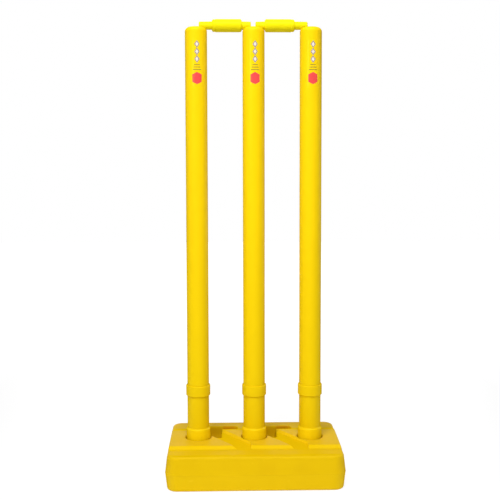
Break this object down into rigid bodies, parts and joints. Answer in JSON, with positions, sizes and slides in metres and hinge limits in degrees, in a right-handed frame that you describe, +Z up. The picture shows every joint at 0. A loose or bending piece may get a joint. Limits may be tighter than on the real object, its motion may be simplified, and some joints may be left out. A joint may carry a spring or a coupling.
{
  "type": "cricket stumps",
  "caption": "Free-standing training wicket: plastic stumps plugged into a moulded base tank, with a pair of bails that lift off.",
  "frame": {"origin": "on the floor, at the centre of the base's footprint, under the axis of the middle stump", "axes": "+Z up along the stumps, +X along the row of stumps from left to right as the bowler sees it, +Y away from the bowler"},
  "size_m": [0.2776, 0.182, 0.7227],
  "materials": {
    "base_plastic": "satin",
    "leg_plastic": "satin",
    "stump_plastic": "satin",
    "bail_plastic": "satin",
    "bung_plastic": "satin"
  },
  "bodies": {
    "base": {"base": "base_plastic"},
    "bung": {"filler_bung": "bung_plastic"},
    "leg_middle": {"leg_middle": "leg_plastic"},
    "leg_left": {"leg_left": "leg_plastic"},
    "leg_right": {"leg_right": "leg_plastic"},
    "tube_middle": {"tube_middle": "stump_plastic"},
    "tube_left": {"tube_left": "stump_plastic"},
    "tube_right": {"tube_right": "stump_plastic"},
    "bail_left": {"bail_left": "bail_plastic"},
    "bail_right": {"bail_right": "bail_plastic"}
  },
  "joints": [
    {"name": "bung_pull", "type": "slide", "parent": "base", "child": "bung", "axis": [0, 1, 0], "range_m": [0, 0.035]},
    {"name": "leg_middle_lift", "type": "slide", "parent": "base", "child": "leg_middle", "axis": [0, 0, 1], "range_m": [0, 0.06]},
    {"name": "leg_left_lift", "type": "slide", "parent": "base", "child": "leg_left", "axis": [0, 0, 1], "range_m": [0, 0.06]},
    {"name": "leg_right_lift", "type": "slide", "parent": "base", "child": "leg_right", "axis": [0, 0, 1], "range_m": [0, 0.06]},
    {"name": "tube_middle_lift", "type": "slide", "parent": "leg_middle", "child": "tube_middle", "axis": [0, 0, 1], "range_m": [0, 0.07]},
    {"name": "tube_left_lift", "type": "slide", "parent": "leg_left", "child": "tube_left", "axis": [0, 0, 1], "range_m": [0, 0.07]},
    {"name": "tube_right_lift", "type": "slide", "parent": "leg_right", "child": "tube_right", "axis": [0, 0, 1], "range_m": [0, 0.07]},
    {"name": "bail_left_lift", "type": "slide", "parent": "tube_middle", "child": "bail_left", "axis": [0, 0, 1], "range_m": [0, 0.05]},
    {"name": "bail_right_lift", "type": "slide", "parent": "tube_middle", "child": "bail_right", "axis": [0, 0, 1], "range_m": [0, 0.05]}
  ],
  "couplings": [
    {"joint": "leg_left_lift", "follows": "leg_middle_lift", "ratio": 1},
    {"joint": "leg_right_lift", "follows": "leg_middle_lift", "ratio": 1},
    {"joint": "tube_left_lift", "follows": "tube_middle_lift", "ratio": 1},
    {"joint": "tube_right_lift", "follows": "tube_middle_lift", "ratio": 1}
  ]
}
